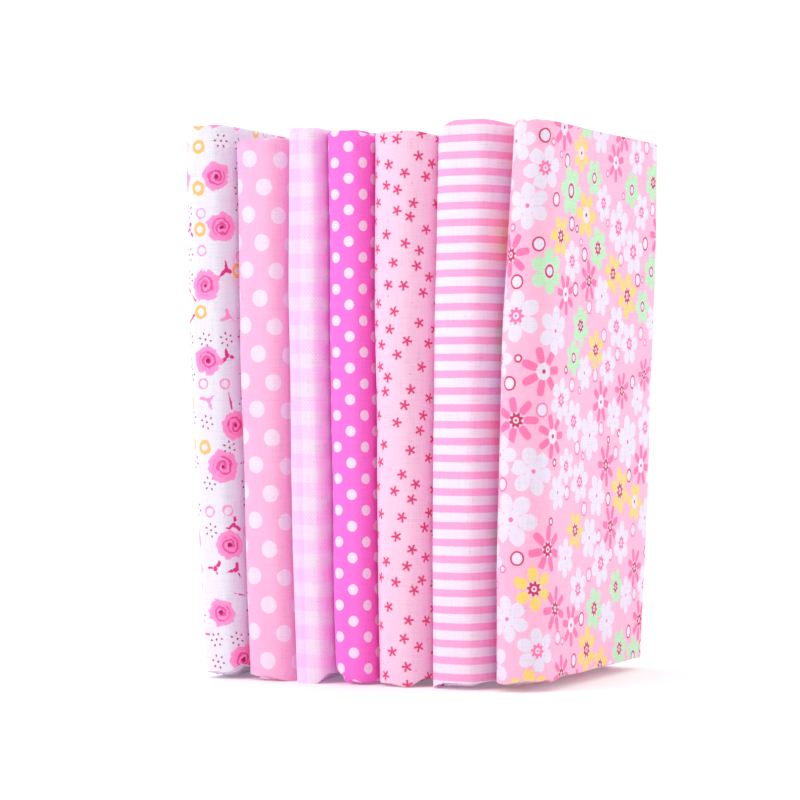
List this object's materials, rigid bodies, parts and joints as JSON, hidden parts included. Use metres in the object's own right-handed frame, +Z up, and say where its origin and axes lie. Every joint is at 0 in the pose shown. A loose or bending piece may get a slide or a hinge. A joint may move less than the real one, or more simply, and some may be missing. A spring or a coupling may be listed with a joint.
{
  "type": "stack of folded fabric squares",
  "caption": "Cotton fabric squares in pink prints, each folded into a flat packet and stood on edge side by side with rounded folds to the front.",
  "frame": {"origin": "bottom centre of the row's bounding box, on the surface that the folded edges stand on", "axes": "+Z up along the height of the packets, -Y towards the rounded front folds, +X along the row towards the flower print"},
  "size_m": [0.0951, 0.068, 0.1276],
  "materials": {
    "rose_print": "plain-weave cotton, white with scattered pink roses, thin rings and dots",
    "large_dot_print": "plain-weave cotton, pink with large white dots",
    "gingham_weave": "plain-weave cotton, white and lilac-pink gingham check",
    "small_dot_print": "plain-weave cotton, hot pink with small white dots",
    "star_print": "plain-weave cotton, pale pink with small raspberry stars",
    "stripe_print": "plain-weave cotton, pink and white level stripes",
    "flower_print": "plain-weave cotton, pink with white, pink, mint and yellow flowers"
  },
  "bodies": {
    "root": {"rose_square": "rose_print", "large_dot_square": "large_dot_print", "gingham_square": "gingham_weave", "small_dot_square": "small_dot_print", "star_square": "star_print", "stripe_square": "stripe_print", "flower_square": "flower_print"}
  },
  "joints": []
}
